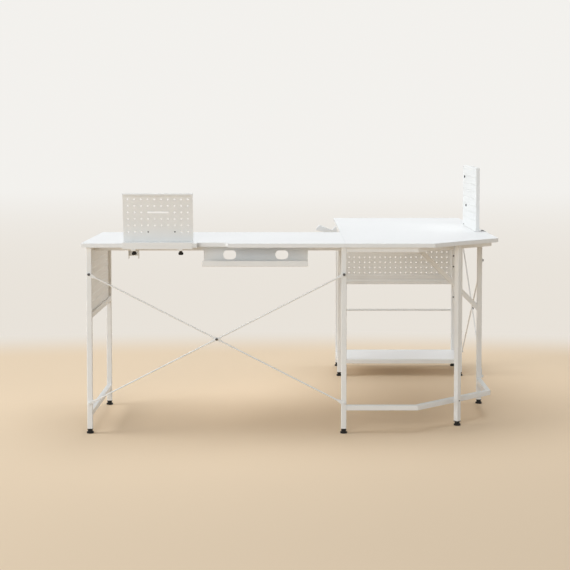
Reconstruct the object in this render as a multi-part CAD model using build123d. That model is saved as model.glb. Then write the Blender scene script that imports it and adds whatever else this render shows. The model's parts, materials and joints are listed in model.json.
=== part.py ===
from build123d import *
import os
from math import sqrt

# A corner desk: two wing boards and a chamfered corner board on a square tube frame, in millimetres.
# Every piece is drawn from the left end (x), the rear edge (y) and the floor (z), then moved as one.

# Sides of the small round pieces, few because they repeat so often
round_sides = 12
bore_sides = 6
rod_sides = 8

# Boards
overall_side = 1600.0
desk_height = 720.0
corner_side = 610.0
chamfer_cut = 275.0
board_thickness = 16.0
board_corner_radius = 3.0
seam_gap = 0.2
notch_start = 434.0
notch_width = 116.0
notch_depth = 40.0
notch_radius = 12.0

# Square tube frame
tube_side = 20.0
tube_wall = 1.2
rear_inset = 28.0
front_inset = 20.0
end_inset = 28.0
joint_offset = 5.0
rail_cut = 354.0
corner_low_rail_height = 87.0
knee_height = 392.0
stretcher_setback = 117.2
left_low_rail_height = 66.0
left_panel_rail_height = 435.0

# Rack under the end of the right wing
rack_depth = 281.0
rack_low_rail_height = 58.0
rack_panel_rail_height = 400.0
guard_height = 274.0
guard_diameter = 10.0
shelf_thickness = 15.0
ledge_thickness = 3.0
ledge_width = 15.0

# Perforated sheet
sheet = 1.2
hole_pitch = 25.0
hole_diameter = 7.0
hole_sides = 4
panel_low_margin = 36.0
panel_top_margin = 25.0
panel_side_margin = 20.0
hem_height = 25.0
hem_thickness = 4.0

# Crossed braces on the outer faces of the legs
brace_top = 602.0
brace_bottom = 115.0
brace_diameter = 6.0
tab_thickness = 2.0
tab_width = 14.0
tab_length = 30.0
tab_overhang = 8.0
crossing_length = 36.0
crossing_width = 10.0
crossing_thickness = 3.0
bolt_across = 11.0
bolt_head = 4.5

# Cable tray under the left wing
tray_start = 453.0
tray_length = 397.0
tray_floor_height = 632.0
tray_lip = 21.0
tray_setback = 12.0
tray_slot_width = 50.0
tray_slot_height = 36.0
tray_slot_height_above_floor = 36.0
tray_slot_spacing = 199.0

# Small pegboard over the rear edge of the left wing, leaning out at the top
peg_start = 156.0
peg_width = 262.6
peg_top = 907.0
peg_drop = 21.0
peg_foot = 46.0
peg_head = 14.0
peg_flange = 12.0
peg_lip = 8.0
peg_columns = 10
peg_rows = 6
peg_first_row = 23.0
peg_slot_row = 2
peg_slot_from = 3
peg_slot_to = 6
peg_bare_row = 5
peg_bare_from = 3
peg_bare_to = 7
peg_slot_height = 6.0

# Large pegboard standing on the right wing
large_offset = 7.0
large_width = 450.0
large_rise = 268.0
large_setback = 45.0
large_flange = 16.0
large_hole_pitch = 30.0
large_margin = 30.0

# Edge clamps of the pegboards
small_clamp_width = 18.0
large_clamp_width = 36.0
clamp_plate = 2.0
clamp_gap = 0.3
clamp_reach = 46.0
small_throat = 10.7
large_throat = 33.0
clamp_tab = 36.0
clamp_spread = 175.0
clamp_shift = -2.8
large_clamp_inset = 43.0
small_screw_setback = 24.0
large_screw_setback = 47.0
screw_margin = 14.0
screw_diameter = 8.0
screw_clearance = 0.4
pad_diameter = 14.0
pad_thickness = 3.0
knob_diameter = 21.0
knob_height = 16.0
knob_lobes = 5
knob_lobe_diameter = 8.0

# Small hook bracket under the left wing and saddle hook on the right wing
bracket_start = 162.0
bracket_setback = 160.0
bracket_width = 40.0
bracket_drop = 44.0
bracket_flange = 18.0
bracket_ear = 10.0
bracket_sheet = 2.0
hook_offset = 35.0
hook_width = 36.0
hook_sheet = 2.5
hook_root = 45.0
hook_gap = 14.0
hook_valley = 33.0
hook_nose = 85.0
hook_reach = 102.0
hook_crest_rise = 28.0
hook_valley_rise = 4.0
hook_nose_rise = 27.0
hook_lip_rise = 8.0
hook_cheek_drop = 6.0
hook_cheek_reach = 58.0
hook_bend_radius = 5.0
hook_crest_radius = 4.0
hook_valley_radius = 12.0
hook_nose_radius = 8.0

# Levelling feet
foot_disc_diameter = 27.0
foot_disc_height = 8.0
foot_edge = 1.5
foot_collar_diameter = 19.0
foot_height = 15.0
foot_taper = 4.0
stem_diameter = 8.0
stem_length = 24.0
stem_clearance = 0.3
cap_flange = 3.0
cap_depth = 22.0

# Places worked out from the sizes above
half_tube = tube_side / 2
underside = desk_height - board_thickness
seam = overall_side - corner_side
leg_bottom = foot_height + cap_flange
top_rail_height = underside - tube_side
end_x = end_inset
rear_y = rear_inset
front_y = corner_side - front_inset
joint_x = seam - joint_offset
right_x = overall_side - rear_inset
joint_y = overall_side - joint_x
inner_x = seam + front_inset
rack_end_y = overall_side - end_inset
rack_mid_y = rack_end_y - rack_depth
large_start = corner_side + large_offset
hook_start = corner_side + hook_offset
chamfer_leg_inset = (rail_cut - half_tube * sqrt(2)) / 2

home = Location((-overall_side / 2, -overall_side / 2, 0))
os.makedirs("parts", exist_ok=True)


def save(name, shape):
    """Move a piece from the drawing corner to the desk's own origin and write it."""
    export_step(home * shape, f"parts/{name}.step")


def block(x, y, z):
    """A box from its (low, high) pairs along each axis."""
    middle = [(low + high) / 2 for low, high in (x, y, z)]
    return Pos(*middle) * Box(x[1] - x[0], y[1] - y[0], z[1] - z[0])


def around(middle, width=tube_side):
    """The (low, high) pair of a width about its middle."""
    return (middle - width / 2, middle + width / 2)


def leg(x, y, turn=0):
    """An upright square tube, open at the foot for its cap."""
    bore = tube_side - 2 * tube_wall
    section = Rectangle(tube_side, tube_side) - Rectangle(bore, bore)
    return Pos(x, y, leg_bottom) * Rot(0, 0, turn) * extrude(section, underside - leg_bottom)


def rail(x, y, low):
    """A level tube; the longer of x and y is its run, the other its width."""
    tube = block(x, y, (low, low + tube_side))
    if x[1] - x[0] > y[1] - y[0]:
        y = (y[0] + tube_wall, y[1] - tube_wall)
    else:
        x = (x[0] + tube_wall, x[1] - tube_wall)
    return tube - block(x, y, (low + tube_wall, low + tube_side - tube_wall))


def outline(points):
    """A filled polygon through points."""
    return make_face(Polyline(*points, close=True))


def prism(plane, points, depth):
    """A polygon drawn on a plane and raised along its normal."""
    return extrude(plane * outline(points), depth, dir=plane.z_dir)


def round_bar(diameter, sides=round_sides):
    """The section of a small round piece."""
    return RegularPolygon(diameter / 2, sides)


def bore(diameter, clearance):
    """The section of a hole that clears a round piece of that diameter."""
    return RegularPolygon(diameter / 2 + clearance, bore_sides, major_radius=False)


def perforation(columns, rows, pitch, skip=()):
    """The holes of a panel, from its lower left hole, leaving out the skipped (column, row) pairs."""
    spots = [(c * pitch, r * pitch) for r in range(rows) for c in range(columns) if (c, r) not in skip]
    return Sketch() + [Pos(*spot) * round_bar(hole_diameter, hole_sides) for spot in spots]


def end_panel(width, height):
    """A flat perforated panel, drawn from its lower left corner."""
    columns = int((width - 2 * panel_side_margin) / hole_pitch) + 1
    rows = int((height - panel_low_margin - panel_top_margin) / hole_pitch) + 1
    first = (width - (columns - 1) * hole_pitch) / 2
    face = Pos(width / 2, height / 2) * Rectangle(width, height)
    return face - Pos(first, panel_low_margin) * perforation(columns, rows, hole_pitch)


def boards():
    """The three tops and the rack's shelf."""
    left = Pos(seam / 2, corner_side / 2) * Rectangle(seam - seam_gap, corner_side)
    notch = outline([
        (notch_start, -notch_radius),
        (notch_start + notch_width, -notch_radius),
        (notch_start + notch_width, notch_depth),
        (notch_start, notch_depth),
    ])
    notch = fillet(notch.vertices().group_by(Axis.Y)[-1], notch_radius)
    corner = outline([
        (seam, 0),
        (overall_side - chamfer_cut, 0),
        (overall_side, chamfer_cut),
        (overall_side, corner_side),
        (seam, corner_side),
    ])
    right = Pos(overall_side - corner_side / 2, (overall_side + corner_side) / 2)
    right *= Rectangle(corner_side, seam - seam_gap)
    ends = left.vertices().group_by(Axis.X)[0]
    left = fillet(ends, board_corner_radius) - notch
    right = fillet(right.vertices().group_by(Axis.Y)[-1], board_corner_radius)
    for name, face in (("left_board", left), ("corner_board", corner), ("right_board", right)):
        save(name, Pos(0, 0, underside) * extrude(face, board_thickness))
    shelf_top = rack_low_rail_height + tube_side
    shelf_x = (inner_x - half_tube, right_x + half_tube)
    shelf_y = (rack_mid_y + half_tube, rack_end_y - half_tube)
    save("rack_shelf", block(shelf_x, shelf_y, (shelf_top - shelf_thickness, shelf_top)))


def left_end_frame():
    """Two legs, three rails and a perforated side panel."""
    between = (rear_y + half_tube, front_y - half_tube)
    save("left_rear_leg", leg(end_x, rear_y))
    save("left_front_leg", leg(end_x, front_y))
    save("left_top_rail", rail(around(end_x), between, top_rail_height))
    save("left_panel_rail", rail(around(end_x), between, left_panel_rail_height))
    save("left_low_rail", rail(around(end_x), between, left_low_rail_height))
    panel_bottom = left_panel_rail_height + tube_side
    face = end_panel(between[1] - between[0], top_rail_height - panel_bottom)
    stand = Plane((end_x - sheet / 2, between[0], panel_bottom), x_dir=(0, 1, 0), z_dir=(1, 0, 0))
    save("left_side_panel", extrude(stand * face, sheet, dir=stand.z_dir))


def bent_run(low, skin):
    """The corner rail's run, thinned by skin on every side: rear, chamfer and right edge, mitred."""
    outer = rear_inset - half_tube + skin
    inner = rear_inset + half_tube - skin
    outer_cut = rail_cut + skin * sqrt(2)
    inner_cut = rail_cut + (tube_side - skin) * sqrt(2)
    far = overall_side
    points = [
        (joint_x + half_tube, outer),
        (far - (outer_cut - outer), outer),
        (far - outer, outer_cut - outer),
        (far - outer, joint_y - half_tube),
        (far - inner, joint_y - half_tube),
        (far - inner, inner_cut - inner),
        (far - (inner_cut - inner), inner),
        (joint_x + half_tube, inner),
    ]
    return prism(Plane((0, 0, low + skin)), points, tube_side - 2 * skin)


def knee_run(plane, skin):
    """A 45 degree bar from a leg up to the rail that it carries, cut flush at both ends."""
    low = skin * sqrt(2)
    high = (tube_side - skin) * sqrt(2)
    reach = top_rail_height - knee_height
    points = [(0, low), (reach - low, reach), (reach - high, reach), (0, high)]
    return prism(plane.offset(skin), points, tube_side - 2 * skin)


def bent_rail(low):
    """The corner's bent tube at one height."""
    return bent_run(low, 0) - bent_run(low, tube_wall)


def knee(plane):
    """A knee brace tube on its plane."""
    return knee_run(plane, 0) - knee_run(plane, tube_wall)


def corner_frame():
    """Three legs, two bent rails, and a braced rail under each seam."""
    save("left_joint_leg", leg(joint_x, rear_y))
    save("right_joint_leg", leg(right_x, joint_y))
    save("chamfer_leg", leg(overall_side - chamfer_leg_inset, chamfer_leg_inset, 45))
    save("corner_top_rail", bent_rail(top_rail_height))
    save("corner_low_rail", bent_rail(corner_low_rail_height))
    near = rear_y + half_tube
    far = right_x - half_tube
    save("left_seam_rail", rail(around(joint_x), (near, front_y), top_rail_height))
    save("right_seam_rail", rail((inner_x, far), around(joint_y), top_rail_height))
    left = Plane((joint_x - half_tube, near, knee_height), x_dir=(0, 1, 0), z_dir=(1, 0, 0))
    right = Plane((far, joint_y - half_tube, knee_height), x_dir=(-1, 0, 0), z_dir=(0, 1, 0))
    save("left_knee_brace", knee(left))
    save("right_knee_brace", knee(right))


def rack():
    """Two leg pairs under the end of the right wing, with rails, shelf ledges, a panel and a guard rod."""
    across = (inner_x + half_tube, right_x - half_tube)
    for name, y, inward in (("rack_middle", rack_mid_y, 1), ("rack_end", rack_end_y, -1)):
        save(f"{name}_rear_leg", leg(right_x, y))
        save(f"{name}_front_leg", leg(inner_x, y))
        save(f"{name}_top_rail", rail(across, around(y), top_rail_height))
        ledge_top = rack_low_rail_height + tube_side - shelf_thickness
        inner_face = y + inward * half_tube
        ledge_y = sorted((inner_face, inner_face + inward * ledge_width))
        ledge = block(across, ledge_y, (ledge_top - ledge_thickness, ledge_top))
        save(f"{name}_low_rail", rail(across, around(y), rack_low_rail_height) + ledge)
    save("rack_panel_rail", rail(across, around(rack_end_y), rack_panel_rail_height))
    panel_bottom = rack_panel_rail_height + tube_side
    face = end_panel(across[1] - across[0], top_rail_height - panel_bottom)
    stand = Plane((across[0], rack_end_y + sheet / 2, panel_bottom), x_dir=(1, 0, 0), z_dir=(0, -1, 0))
    panel = extrude(stand * face, sheet, dir=stand.z_dir)
    hem_front = rack_end_y + sheet / 2 - hem_thickness
    hem = block(across, (hem_front, rack_end_y), (panel_bottom, panel_bottom + hem_height))
    save("rack_end_panel", panel + hem)
    rod = Plane((across[0], rack_end_y, guard_height), z_dir=(1, 0, 0))
    save("rack_guard_rod", extrude(rod * Circle(guard_diameter / 2), across[1] - across[0]))


def stretchers():
    """A level tube under each wing, set back from its rear edge."""
    left_run = (end_x + half_tube, joint_x - half_tube)
    right_run = (joint_y + half_tube, rack_mid_y - half_tube)
    setback = (stretcher_setback, stretcher_setback + tube_side)
    mirrored = (overall_side - setback[1], overall_side - setback[0])
    save("left_stretcher", rail(left_run, setback, top_rail_height))
    save("right_stretcher", rail(mirrored, right_run, top_rail_height))


def brace(start, end, outward, lift):
    """A round rod with flattened ends and a flattened crossing, lifted off the legs' outer faces."""
    start = Vector(*start)
    end = Vector(*end)
    length = (end - start).length
    plane = Plane(start + Vector(*outward) * lift, x_dir=end - start, z_dir=outward)
    middle = length / 2
    rod_start = tab_length - tab_overhang
    bar = Pos(middle, 0) * Box(crossing_length, crossing_width, crossing_thickness)
    for side in (-1, 1):
        tab_middle = middle + side * (middle + tab_overhang - tab_length / 2)
        bar += Pos(tab_middle, 0) * Box(tab_length, tab_width, tab_thickness)
        rod_length = middle - rod_start - crossing_length / 2
        rod_middle = middle + side * (crossing_length + rod_length) / 2
        rod = extrude(round_bar(brace_diameter, rod_sides), rod_length / 2, both=True)
        bar += Pos(rod_middle, 0) * Rot(0, 90, 0) * rod
    return plane * bar


def bolt(spot, outward):
    """A hexagon head standing on a face."""
    plane = Plane(spot, z_dir=outward)
    return extrude(plane * RegularPolygon(bolt_across / 2, 6), bolt_head)


def spacer(spot, outward, thickness):
    """A square washer between a leg and the outer brace's end."""
    plane = Plane(spot, z_dir=outward)
    return extrude(plane * Rectangle(bolt_across, bolt_across), thickness)


def crossed_braces():
    """Two pairs of crossed rods, one behind each wing, with their bolts."""
    bolts = []
    near_lift = tab_thickness / 2
    far_lift = near_lift + crossing_thickness
    left_face = rear_y - half_tube
    right_face = right_x + half_tube
    left = [(end_x, left_face), (joint_x, left_face)]
    right = [(right_face, joint_y), (right_face, rack_mid_y)]
    for side, legs, outward in (("left", left, (0, -1, 0)), ("right", right, (1, 0, 0))):
        away = Vector(*outward)
        falling = [(*legs[0], brace_top), (*legs[1], brace_bottom)]
        rising = [(*legs[0], brace_bottom), (*legs[1], brace_top)]
        save(f"{side}_brace_inner", brace(*falling, outward, near_lift))
        save(f"{side}_brace_outer", brace(*rising, outward, far_lift))
        for spot in falling:
            bolts.append(bolt(Vector(*spot) + away * tab_thickness, outward))
        for spot in rising:
            bolts.append(spacer(Vector(*spot), outward, crossing_thickness))
            bolts.append(bolt(Vector(*spot) + away * (crossing_thickness + tab_thickness), outward))
        crossing = (Vector(*falling[0]) + Vector(*falling[1])) / 2
        bolts.append(bolt(crossing + away * (far_lift + crossing_thickness / 2), outward))
    save("brace_bolts", Compound(children=bolts))


def cable_tray():
    """A folded sheet trough screwed to the left stretcher, with two cable holes in its tall wall."""
    wall = stretcher_setback
    points = [
        (tray_setback, tray_floor_height + tray_lip),
        (tray_setback, tray_floor_height),
        (wall, tray_floor_height),
        (wall, underside),
        (wall - sheet, underside),
        (wall - sheet, tray_floor_height + sheet),
        (tray_setback + sheet, tray_floor_height + sheet),
        (tray_setback + sheet, tray_floor_height + tray_lip),
    ]
    side = Plane((tray_start, 0, 0), x_dir=(0, 1, 0), z_dir=(1, 0, 0))
    tray = prism(side, points, tray_length)
    face = Plane((tray_start + tray_length / 2, wall, tray_floor_height), x_dir=(1, 0, 0), z_dir=(0, -1, 0))
    for step in (-0.5, 0.5):
        slot = Pos(step * tray_slot_spacing, tray_slot_height_above_floor)
        slot *= SlotOverall(tray_slot_width, tray_slot_height)
        tray -= extrude(face * slot, 2 * sheet, dir=face.z_dir, both=True)
    save("cable_tray", tray)


def small_pegboard(face_y, seat):
    """A sheet folded over the rear edge: a skirt, a flange on the clamps, a leaning plate and a lip."""
    bottom = desk_height - peg_drop
    fold = Polyline(
        (face_y, bottom),
        (face_y, seat),
        (peg_foot, seat),
        (peg_head, peg_top),
        (peg_head - peg_flange, peg_top),
        (peg_head - peg_flange, peg_top - peg_lip),
    )
    side = Plane((peg_start, 0, 0), x_dir=(0, 1, 0), z_dir=(1, 0, 0))
    section = make_face(offset(fold, sheet, side=Side.LEFT))
    board = extrude(side * section, peg_width, dir=side.z_dir)
    lean = Vector(0, peg_head - peg_foot, peg_top - seat)
    margin = (peg_width - (peg_columns - 1) * hole_pitch) / 2
    lowest = lean.length - peg_first_row - (peg_rows - 1) * hole_pitch
    top = peg_rows - 1
    skip = [(c, top - peg_slot_row) for c in range(peg_slot_from, peg_slot_to + 1)]
    skip += [(c, top - peg_bare_row) for c in range(peg_bare_from, peg_bare_to + 1)]
    cut = Pos(margin, lowest) * perforation(peg_columns, peg_rows, hole_pitch, skip)
    slot_length = (peg_slot_to - peg_slot_from) * hole_pitch + peg_slot_height
    slot_middle = margin + (peg_slot_from + peg_slot_to) / 2 * hole_pitch
    slot_level = lowest + (top - peg_slot_row) * hole_pitch
    cut += Pos(slot_middle, slot_level) * SlotOverall(slot_length, peg_slot_height)
    stand = Plane((peg_start, peg_foot, seat), x_dir=(1, 0, 0), z_dir=Vector(1, 0, 0).cross(lean))
    board -= extrude(stand * cut, 2 * sheet, dir=stand.z_dir, both=True)
    save("small_pegboard", board)


def large_pegboard(face_x, bottom):
    """A perforated pan with folded top and sides, standing on its clamps along the right edge."""
    top = desk_height + large_rise
    height = top - bottom
    columns = int((large_width - 2 * large_margin) / large_hole_pitch) + 1
    rows = int((height - 2 * large_margin) / large_hole_pitch) + 1
    across = (large_width - (columns - 1) * large_hole_pitch) / 2
    up = (height - (rows - 1) * large_hole_pitch) / 2
    face = Pos(large_width / 2, height / 2) * Rectangle(large_width, height)
    face -= Pos(across, up) * perforation(columns, rows, large_hole_pitch)
    stand = Plane((face_x, large_start, bottom), x_dir=(0, 1, 0), z_dir=(1, 0, 0))
    board = extrude(stand * face, sheet, dir=stand.z_dir)
    end = large_start + large_width
    flange = (face_x + sheet, face_x + large_flange)
    board += block(flange, (large_start, large_start + sheet), (bottom, top))
    board += block(flange, (end - sheet, end), (bottom, top))
    board += block(flange, (large_start, end), (top - sheet, top))
    save("large_pegboard", board)


def clamp(plane, width, throat, setback, tab_from=None):
    """A steel jaw round a board edge; plane x runs into the board, z along the edge, y up from the top."""
    jaw_top = clamp_gap + clamp_plate
    back = -clamp_gap - clamp_plate
    tongue = -board_thickness - throat
    tongue_reach = setback + screw_margin
    points = [
        (clamp_reach, clamp_gap),
        (clamp_reach, jaw_top),
        (back, jaw_top),
        (back, tongue - clamp_plate),
        (tongue_reach, tongue - clamp_plate),
        (tongue_reach, tongue),
        (-clamp_gap, tongue),
        (-clamp_gap, clamp_gap),
    ]
    jaw = extrude(plane * outline(points), width / 2, dir=plane.z_dir, both=True)
    spot = Plane(plane.from_local_coords(Vector(setback, tongue, 0)))
    jaw -= extrude(spot * bore(screw_diameter, screw_clearance), 2 * clamp_plate, both=True)
    if tab_from is not None:
        tab = [
            (tab_from, jaw_top),
            (tab_from - clamp_plate, jaw_top),
            (tab_from - clamp_plate, jaw_top + clamp_tab),
            (tab_from, jaw_top + clamp_tab),
        ]
        jaw += extrude(plane * outline(tab), width / 2, dir=plane.z_dir, both=True)
    return jaw


def clamp_screw(x, y, throat):
    """A lobed knob, its stem through the jaw and a pad just under the board."""
    pad_top = underside - clamp_gap
    stem_bottom = underside - throat - clamp_plate - clamp_gap
    pad = Pos(0, 0, pad_top - pad_thickness) * extrude(round_bar(pad_diameter), pad_thickness)
    stem = extrude(round_bar(screw_diameter, rod_sides), pad_top - stem_bottom)
    stem = Pos(0, 0, stem_bottom) * stem
    lobe_ring = knob_diameter - knob_lobe_diameter
    lobe = round_bar(knob_lobe_diameter, rod_sides)
    grip = round_bar(lobe_ring) + PolarLocations(lobe_ring / 2, knob_lobes) * lobe
    knob = Pos(0, 0, stem_bottom - knob_height) * extrude(grip, knob_height)
    return Pos(x, y, 0) * (pad + stem + knob)


def pegboards():
    """Both pegboards with two clamps each, and the clamp screws."""
    seat = desk_height + clamp_gap + clamp_plate
    small_pegboard(-clamp_gap - clamp_plate, seat)
    middle = peg_start + peg_width / 2 + clamp_shift
    jaws = []
    for side, step in (("left", -0.5), ("right", 0.5)):
        x = middle + step * clamp_spread
        edge = Plane((x, 0, desk_height), x_dir=(0, 1, 0), z_dir=(1, 0, 0))
        jaws.append(clamp(edge, small_clamp_width, small_throat, small_screw_setback))
        save(f"small_clamp_screw_{side}", clamp_screw(x, small_screw_setback, small_throat))
    save("small_clamps", Compound(children=jaws))
    large_pegboard(overall_side - large_setback, seat)
    tab_from = large_setback - sheet
    jaws = []
    spots = (large_start + large_clamp_inset, large_start + large_width - large_clamp_inset)
    for side, y in zip(("near", "far"), spots):
        edge = Plane((overall_side, y, desk_height), x_dir=(-1, 0, 0), z_dir=(0, 1, 0))
        jaws.append(clamp(edge, large_clamp_width, large_throat, large_screw_setback, tab_from))
        screw = clamp_screw(overall_side - large_screw_setback, y, large_throat)
        save(f"large_clamp_screw_{side}", screw)
    save("large_clamps", Compound(children=jaws))


def hook_bracket():
    """A folded channel under the left wing, for hanging a bag or cables."""
    span = (bracket_start, bracket_start + bracket_width)
    web_y = (bracket_setback, bracket_setback + bracket_sheet)
    fold_y = (bracket_setback - bracket_flange, bracket_setback)
    bracket = block(span, web_y, (underside - bracket_drop, underside))
    bracket += block(span, fold_y, (underside - bracket_sheet, underside))
    ear_z = (underside - bracket_drop - bracket_ear, underside - bracket_sheet)
    for low in (span[0], span[1] - bracket_sheet):
        bracket += block((low, low + bracket_sheet), (fold_y[0], web_y[1]), ear_z)
    save("under_hook_bracket", bracket)


def saddle_hook():
    """A strap under the right wing that rises past its inner edge into a saddle with two cheeks."""
    root = (seam + hook_root, underside)
    bend = (seam - hook_gap, underside)
    foot = (seam - hook_gap, desk_height - hook_cheek_drop)
    crest = (seam - hook_gap, desk_height + hook_crest_rise)
    valley = (seam - hook_valley, desk_height + hook_valley_rise)
    nose = (seam - hook_nose, desk_height + hook_nose_rise)
    lip = (seam - hook_reach, desk_height + hook_lip_rise)
    belly = (seam - hook_cheek_reach, desk_height - hook_cheek_drop)
    saddle_radii = [hook_crest_radius, hook_valley_radius, hook_nose_radius]
    line = FilletPolyline(root, bend, crest, valley, nose, lip, radius=[hook_bend_radius, *saddle_radii])
    strap = make_face(offset(line, hook_sheet, side=Side.LEFT))
    rim = FilletPolyline(foot, crest, valley, nose, lip, radius=saddle_radii)
    cheek = make_face(rim + Polyline(lip, belly, foot))
    near = Plane((0, hook_start, 0), x_dir=(1, 0, 0), z_dir=(0, -1, 0))
    far = Plane((0, hook_start + hook_width - hook_sheet, 0), x_dir=(1, 0, 0), z_dir=(0, -1, 0))
    hook = extrude(near * strap, -hook_width, dir=near.z_dir)
    hook += [extrude(side * cheek, -hook_sheet, dir=side.z_dir) for side in (near, far)]
    save("saddle_hook", hook)


def levelling_feet():
    """A screw foot under each leg, and the plastic caps that hold them in the tubes."""
    disc = extrude(round_bar(foot_disc_diameter), foot_disc_height)
    rims = disc.edges().group_by(Axis.Z)
    disc = chamfer(rims[0] + rims[-1], foot_edge)
    collar_height = foot_height - foot_disc_height
    collar = extrude(round_bar(foot_collar_diameter), collar_height, taper=foot_taper)
    foot = disc + Pos(0, 0, foot_disc_height) * collar
    stem = extrude(round_bar(stem_diameter, rod_sides), stem_length)
    foot += Pos(0, 0, foot_height) * stem
    plug = tube_side - 2 * tube_wall
    cap = Pos(0, 0, foot_height) * extrude(Rectangle(tube_side, tube_side), cap_flange)
    cap += Pos(0, 0, leg_bottom) * extrude(Rectangle(plug, plug), cap_depth)
    cap -= Pos(0, 0, foot_height) * extrude(bore(stem_diameter, stem_clearance), cap_flange + cap_depth)
    places = {
        "left_rear": (end_x, rear_y, 0),
        "left_front": (end_x, front_y, 0),
        "left_joint": (joint_x, rear_y, 0),
        "chamfer": (overall_side - chamfer_leg_inset, chamfer_leg_inset, 45),
        "right_joint": (right_x, joint_y, 0),
        "rack_middle_rear": (right_x, rack_mid_y, 0),
        "rack_middle_front": (inner_x, rack_mid_y, 0),
        "rack_end_rear": (right_x, rack_end_y, 0),
        "rack_end_front": (inner_x, rack_end_y, 0),
    }
    caps = []
    for name, (x, y, turn) in places.items():
        save(f"foot_{name}", Pos(x, y, 0) * foot)
        caps.append(Pos(x, y, 0) * Rot(0, 0, turn) * cap)
    save("leg_caps", Compound(children=caps))


boards()
left_end_frame()
corner_frame()
rack()
stretchers()
crossed_braces()
cable_tray()
pegboards()
hook_bracket()
saddle_hook()
levelling_feet()
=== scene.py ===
import json
import math

import bmesh
import bpy
from mathutils import Matrix, Vector

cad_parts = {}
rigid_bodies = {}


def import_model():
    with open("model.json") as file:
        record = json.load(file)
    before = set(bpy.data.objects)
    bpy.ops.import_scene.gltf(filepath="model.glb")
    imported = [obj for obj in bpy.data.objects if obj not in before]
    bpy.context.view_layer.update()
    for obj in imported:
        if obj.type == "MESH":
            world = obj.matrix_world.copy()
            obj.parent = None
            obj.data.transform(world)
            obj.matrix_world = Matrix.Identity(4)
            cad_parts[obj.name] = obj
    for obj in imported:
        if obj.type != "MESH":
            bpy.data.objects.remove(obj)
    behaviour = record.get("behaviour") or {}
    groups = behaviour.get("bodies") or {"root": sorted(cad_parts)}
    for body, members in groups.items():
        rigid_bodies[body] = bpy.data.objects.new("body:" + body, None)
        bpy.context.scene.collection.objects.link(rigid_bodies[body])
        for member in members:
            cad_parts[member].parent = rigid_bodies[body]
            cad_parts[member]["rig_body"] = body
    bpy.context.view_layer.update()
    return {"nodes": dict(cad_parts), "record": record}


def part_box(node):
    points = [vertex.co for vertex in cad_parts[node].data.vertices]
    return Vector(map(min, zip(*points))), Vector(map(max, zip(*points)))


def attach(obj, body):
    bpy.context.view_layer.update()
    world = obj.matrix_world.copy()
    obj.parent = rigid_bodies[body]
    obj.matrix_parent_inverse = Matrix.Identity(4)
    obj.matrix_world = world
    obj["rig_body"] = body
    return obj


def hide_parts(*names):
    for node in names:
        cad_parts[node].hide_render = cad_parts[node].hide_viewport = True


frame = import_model()

# The looks of a white corner desk, in metres in the CAD frame: rounded tubes, round perforations,
# banded boards, hammered brace rods, turned feet and star knobs, each on the CAD body that carries it.

MM = 0.001
X_AXIS = Vector((1, 0, 0))
Y_AXIS = Vector((0, 1, 0))
Z_AXIS = Vector((0, 0, 1))


def in_mm(*pairs):
    """(radius, height) pairs given in millimetres, in metres."""
    return [(radius * MM, height * MM) for radius, height in pairs]


# Meshes
MERGE = 1e-7
COUNT_SLACK = 1e-4
SMOOTH_ANGLE = 38
CORNER_STEPS = 6
BEND_STEPS = 5
PLATE_EASE = 0.3 * MM
PLATE_EASE_STEPS = 2

# Square tube
TUBE_HALF = 10 * MM
TUBE_WALL = 1.2 * MM
TUBE_RADIUS = 2.2 * MM
TUBE_STEPS = 4
RAIL_CUT = 354 * MM
LEDGE_THICKNESS = 3 * MM

# Boards
EDGE_RADIUS = 0.9 * MM
BOARD_CORNER = 3 * MM
BOARD_FACE_NORMAL = 0.9
CHAMFER_CUT = 275 * MM
NOTCH_START = 434 * MM
NOTCH_WIDTH = 116 * MM
NOTCH_DEPTH = 40 * MM
NOTCH_RADIUS = 12 * MM

# Perforated sheet
SHEET = 1.2 * MM
BEND_RADIUS = 1.8 * MM
HOLE_RADIUS = 3.3 * MM
HOLE_STEPS = 16
SLOT_STEPS = 12
PITCH = 25 * MM
PANEL_LOW_MARGIN = 36 * MM
PANEL_TOP_MARGIN = 25 * MM
PANEL_SIDE_MARGIN = 20 * MM

# Braces and bolts
BRACE_TOP = 602 * MM
BRACE_BOTTOM = 115 * MM
BRACE_RADIUS = 3 * MM
ROD_STEPS = 16
TAB_LENGTH = 30 * MM
TAB_WIDTH = 14 * MM
TAB_THICKNESS = 2 * MM
TAB_OVERHANG = 8 * MM
TAB_STEPS = 4
ROD_TAPER = 8 * MM
CROSSING_LENGTH = 36 * MM
CROSSING_FLAT = 24 * MM
CROSSING_WIDTH = 10 * MM
CROSSING_THICKNESS = 3 * MM
# Exponents of the rod's sections: 2 is an ellipse, and more is squarer
ROUND, CROSSING_SQUARE, TAB_SQUARE = 2.0, 4.0, 5.0
BOLT_SIDES = 6
BOLT_RADIUS = 5.5 * MM
BOLT_HEAD = 4.5 * MM
BOLT_CROWN = 0.8 * MM
SOCKET_RADIUS = 2.6 * MM
SOCKET_TAPER = 0.96
WASHER_EASE = 0.2 * MM
COATED_BOLTS_BELOW = 200 * MM
RACK_SCREW_LEVELS = (538 * MM, 486 * MM, 391 * MM, 337 * MM)

# Folded sheets
PLATE_INSET = 8 * MM
HEM_HEIGHT = 24.4 * MM
HEM_DEPTH = 2.8 * MM
PEG_LEAN = 32 * MM
PEG_FLANGE = 12 * MM
PEG_LIP = 8 * MM
PEG_COLUMNS = 10
PEG_ROWS = 6
PEG_FIRST_ROW = 23 * MM
PEG_SLOT_ROW = 2
PEG_SLOT = range(3, 7)
PEG_BARE = range(3, 8)
PEG_SLOT_HEIGHT = 6 * MM
LARGE_PITCH = 30 * MM
LARGE_MARGIN = 30 * MM
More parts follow.
